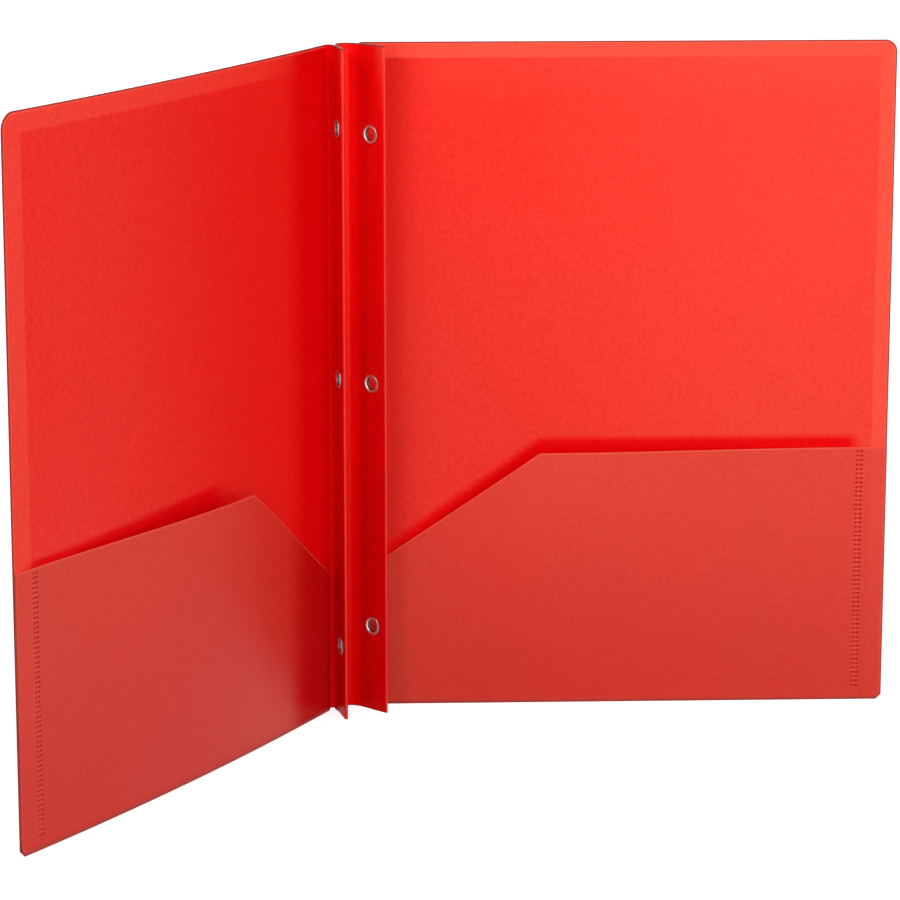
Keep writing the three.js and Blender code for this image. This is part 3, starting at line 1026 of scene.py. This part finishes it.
def add_strip(name, bodies, start, start_out, end, end_out, low, paint, slot_name, outer=None):
    """The stretch of sheet across a fold: from one leaf's end to the next, round the fold.
    start and end are points on the sheet's middle line, with its directions towards the fold,
    and low is the height of its foot. outer is the face, 0 or 1, on the outside of a cover."""
    reach = (end - start).length * 0.42
    line = bezier(start, start + start_out * reach, end + end_out * reach, end, 10)
    normals = line_normals(line)
    rises = with_lines(max(low, rise) for rise in full_rises())

    def point(c, r, face):
        p = line[c] + normals[c] * (HALF if face == 0 else -HALF)
        return Vector((p.x, p.y, rises[r]))

    def marked(c, r, face):
        shade = 1.0 if paint is COVER_RED else fin_shade(rises[r])
        return {"rim": end_rim(rises[r]), "deep": OUTER_SHADE if face == outer else shade}

    piece = sheet_mesh(name, len(line), len(rises), point, paint, marked)
    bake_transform(piece)


def line_end(last, before):
    """The end of a leaf's line in plan, and the direction in which it runs out there."""
    end = Vector((last.x, last.y))
    return end, (end - Vector((before.x, before.y))).normalized()


def add_strips():
    line = fin_line()
    for cover, fin, outer in ((RIGHT, RIGHT_FIN, 1), (LEFT, LEFT_FIN, 0)):
        add_strip(
            f"{fin.side}_cover_fold_strip", (cover.body, f"{fin.side}_fin"),
            *line_end(cover.point(STRIP, 0, 0), cover.point(2 * STRIP, 0, 0)),
            *line_end(fin.point(line[0], 0), fin.point(line[1], 0)),
            BEND_HEIGHT, COVER_RED, "cover_sheet", outer)
    for fin, last, before in ((RIGHT_FIN, STRIP, 2 * STRIP),
                              (LEFT_FIN, WEB_WIDTH - STRIP, WEB_WIDTH - 2 * STRIP)):
        add_strip(
            f"{fin.side}_spine_fold_strip", (f"{fin.side}_fin", "spine_web"),
            *line_end(fin.point(line[-1], 0), fin.point(line[-2], 0)),
            *line_end(web_point(last, -FOLD_OFFSET, 0), web_point(before, -FOLD_OFFSET, 0)),
            0, FIN_RED, "fin_sheet")


for one in (RIGHT, LEFT):
    add_cover(one)
    add_flap(one)
for one in (RIGHT_FIN, LEFT_FIN):
    heights = eyelet_heights(one.side)
    punch(add_fin(one), one, heights.values())
    for place, height in heights.items():
        add_eyelet(one, place, height)
add_web()
add_strips()


# Stage, light and camera

def seen_directly(nodes, links):
    """1 for rays from the camera or off a shiny surface or through glass, else 0."""
    rays = nodes.new("ShaderNodeLightPath")
    value = rays.outputs["Is Camera Ray"]
    for other in ("Is Glossy Ray", "Is Transmission Ray"):
        value = combine(nodes, links, "MAXIMUM", value, rays.outputs[other])
    return value


FLOOR_REACH = 30.0                   # metres from its middle to each side
FLOOR_GREY = 0.62
FLOOR_GLOW = (0.72, 0.95)            # its own light near the object and far away,
FLOOR_GLOW_DISTANCE = (1.0, 2.6)     # at these distances in metres


def add_stage():
    """A pale floor. Seen directly it shines a little by itself, more where the lamps are far
    away, and it still keeps the object's shadow."""
    s = FLOOR_REACH
    mesh = bpy.data.meshes.new("floor")
    mesh.from_pydata([(-s, -s, 0), (s, -s, 0), (s, s, 0), (-s, s, 0)], [], [(0, 1, 2, 3)])
    floor = bpy.data.objects.new("floor", mesh)
    bpy.context.scene.collection.objects.link(floor)
    made, nodes, links = material("floor_white")
    paper = nodes.new("ShaderNodeBsdfDiffuse")
    paper.inputs["Color"].default_value = (FLOOR_GREY, FLOOR_GREY, FLOOR_GREY, 1.0)
    away = nodes.new("ShaderNodeVectorMath")
    away.operation = "LENGTH"
    links.new(nodes.new("ShaderNodeTexCoord").outputs["Object"], away.inputs[0])
    level = spread(nodes, links, away.outputs["Value"], *FLOOR_GLOW, *FLOOR_GLOW_DISTANCE)
    white = nodes.new("ShaderNodeEmission")
    links.new(combine(nodes, links, "MULTIPLY", seen_directly(nodes, links), level),
              white.inputs["Strength"])
    both = nodes.new("ShaderNodeAddShader")
    links.new(paper.outputs["BSDF"], both.inputs[0])
    links.new(white.outputs["Emission"], both.inputs[1])
    as_surface(nodes, links, both.outputs["Shader"])
    mesh.materials.append(made)
    floor.visible_shadow = False    # the low lamp shines up through it, as through a light table


def add_lamp(name, place, target, size, power):
    data = bpy.data.lights.new(name, "AREA")
    data.shape = "SQUARE"
    data.size = size
    data.energy = power
    lamp = bpy.data.objects.new(name, data)
    lamp.location = place
    lamp.rotation_euler = (Vector(target) - Vector(place)).to_track_quat("-Z", "Y").to_euler()
    bpy.context.scene.collection.objects.link(lamp)


def add_world():
    """Plain white surroundings: a strength of 1 where they are seen, less as light."""
    world = bpy.data.worlds.new("world")
    bpy.context.scene.world = world
    world.use_nodes = True
    nodes = world.node_tree.nodes
    links = world.node_tree.links
    background = nodes["Background"]
    background.inputs["Color"].default_value = (1.0, 1.0, 1.0, 1.0)
    links.new(spread(nodes, links, seen_directly(nodes, links), 0.2, 1.0),
              background.inputs["Strength"])


CAMERA_PLACE = (-64.6 * MM, -1550.0 * MM, 507.3 * MM)
CAMERA_PITCH = math.radians(13.386)
CAMERA_YAW = math.radians(-1.968)
CAMERA_LENS = 156.53     # both in millimetres
CAMERA_SENSOR = 36.0


def add_camera():
    """The camera of the photograph, 1.55 m in front of the folder's middle and 0.51 m up."""
    data = bpy.data.cameras.new("camera")
    data.sensor_width = CAMERA_SENSOR
    data.lens = CAMERA_LENS
    camera = bpy.data.objects.new("camera", data)
    camera.location = CAMERA_PLACE
    camera.rotation_euler = (math.radians(90) - CAMERA_PITCH, 0, CAMERA_YAW)
    bpy.context.scene.collection.objects.link(camera)
    bpy.context.scene.camera = camera


# Each lamp's place and target, the length of its sides in metres and its power in watts
LAMPS = {
    "key": ((-1.7, -2.0, 1.5), (0, 0, 0.15), 1.2, 31),
    "fill": ((1.7, -1.9, 1.0), (0, 0, 0.15), 1.2, 12),
    "low": ((0.4, -2.4, -0.2), (0, 0.05, 0.2), 1.2, 9),
    "top": ((0.15, -0.55, 0.9), (0, 0, 0.15), 0.5, 4.2),
    "back": ((0.2, 1.9, 1.3), (0, 0, 0.15), 1.4, 20),
}

add_stage()
add_world()
for name, lamp in LAMPS.items():
    add_lamp(name, *lamp)
add_camera()
bpy.context.scene.view_settings.view_transform = "Standard"
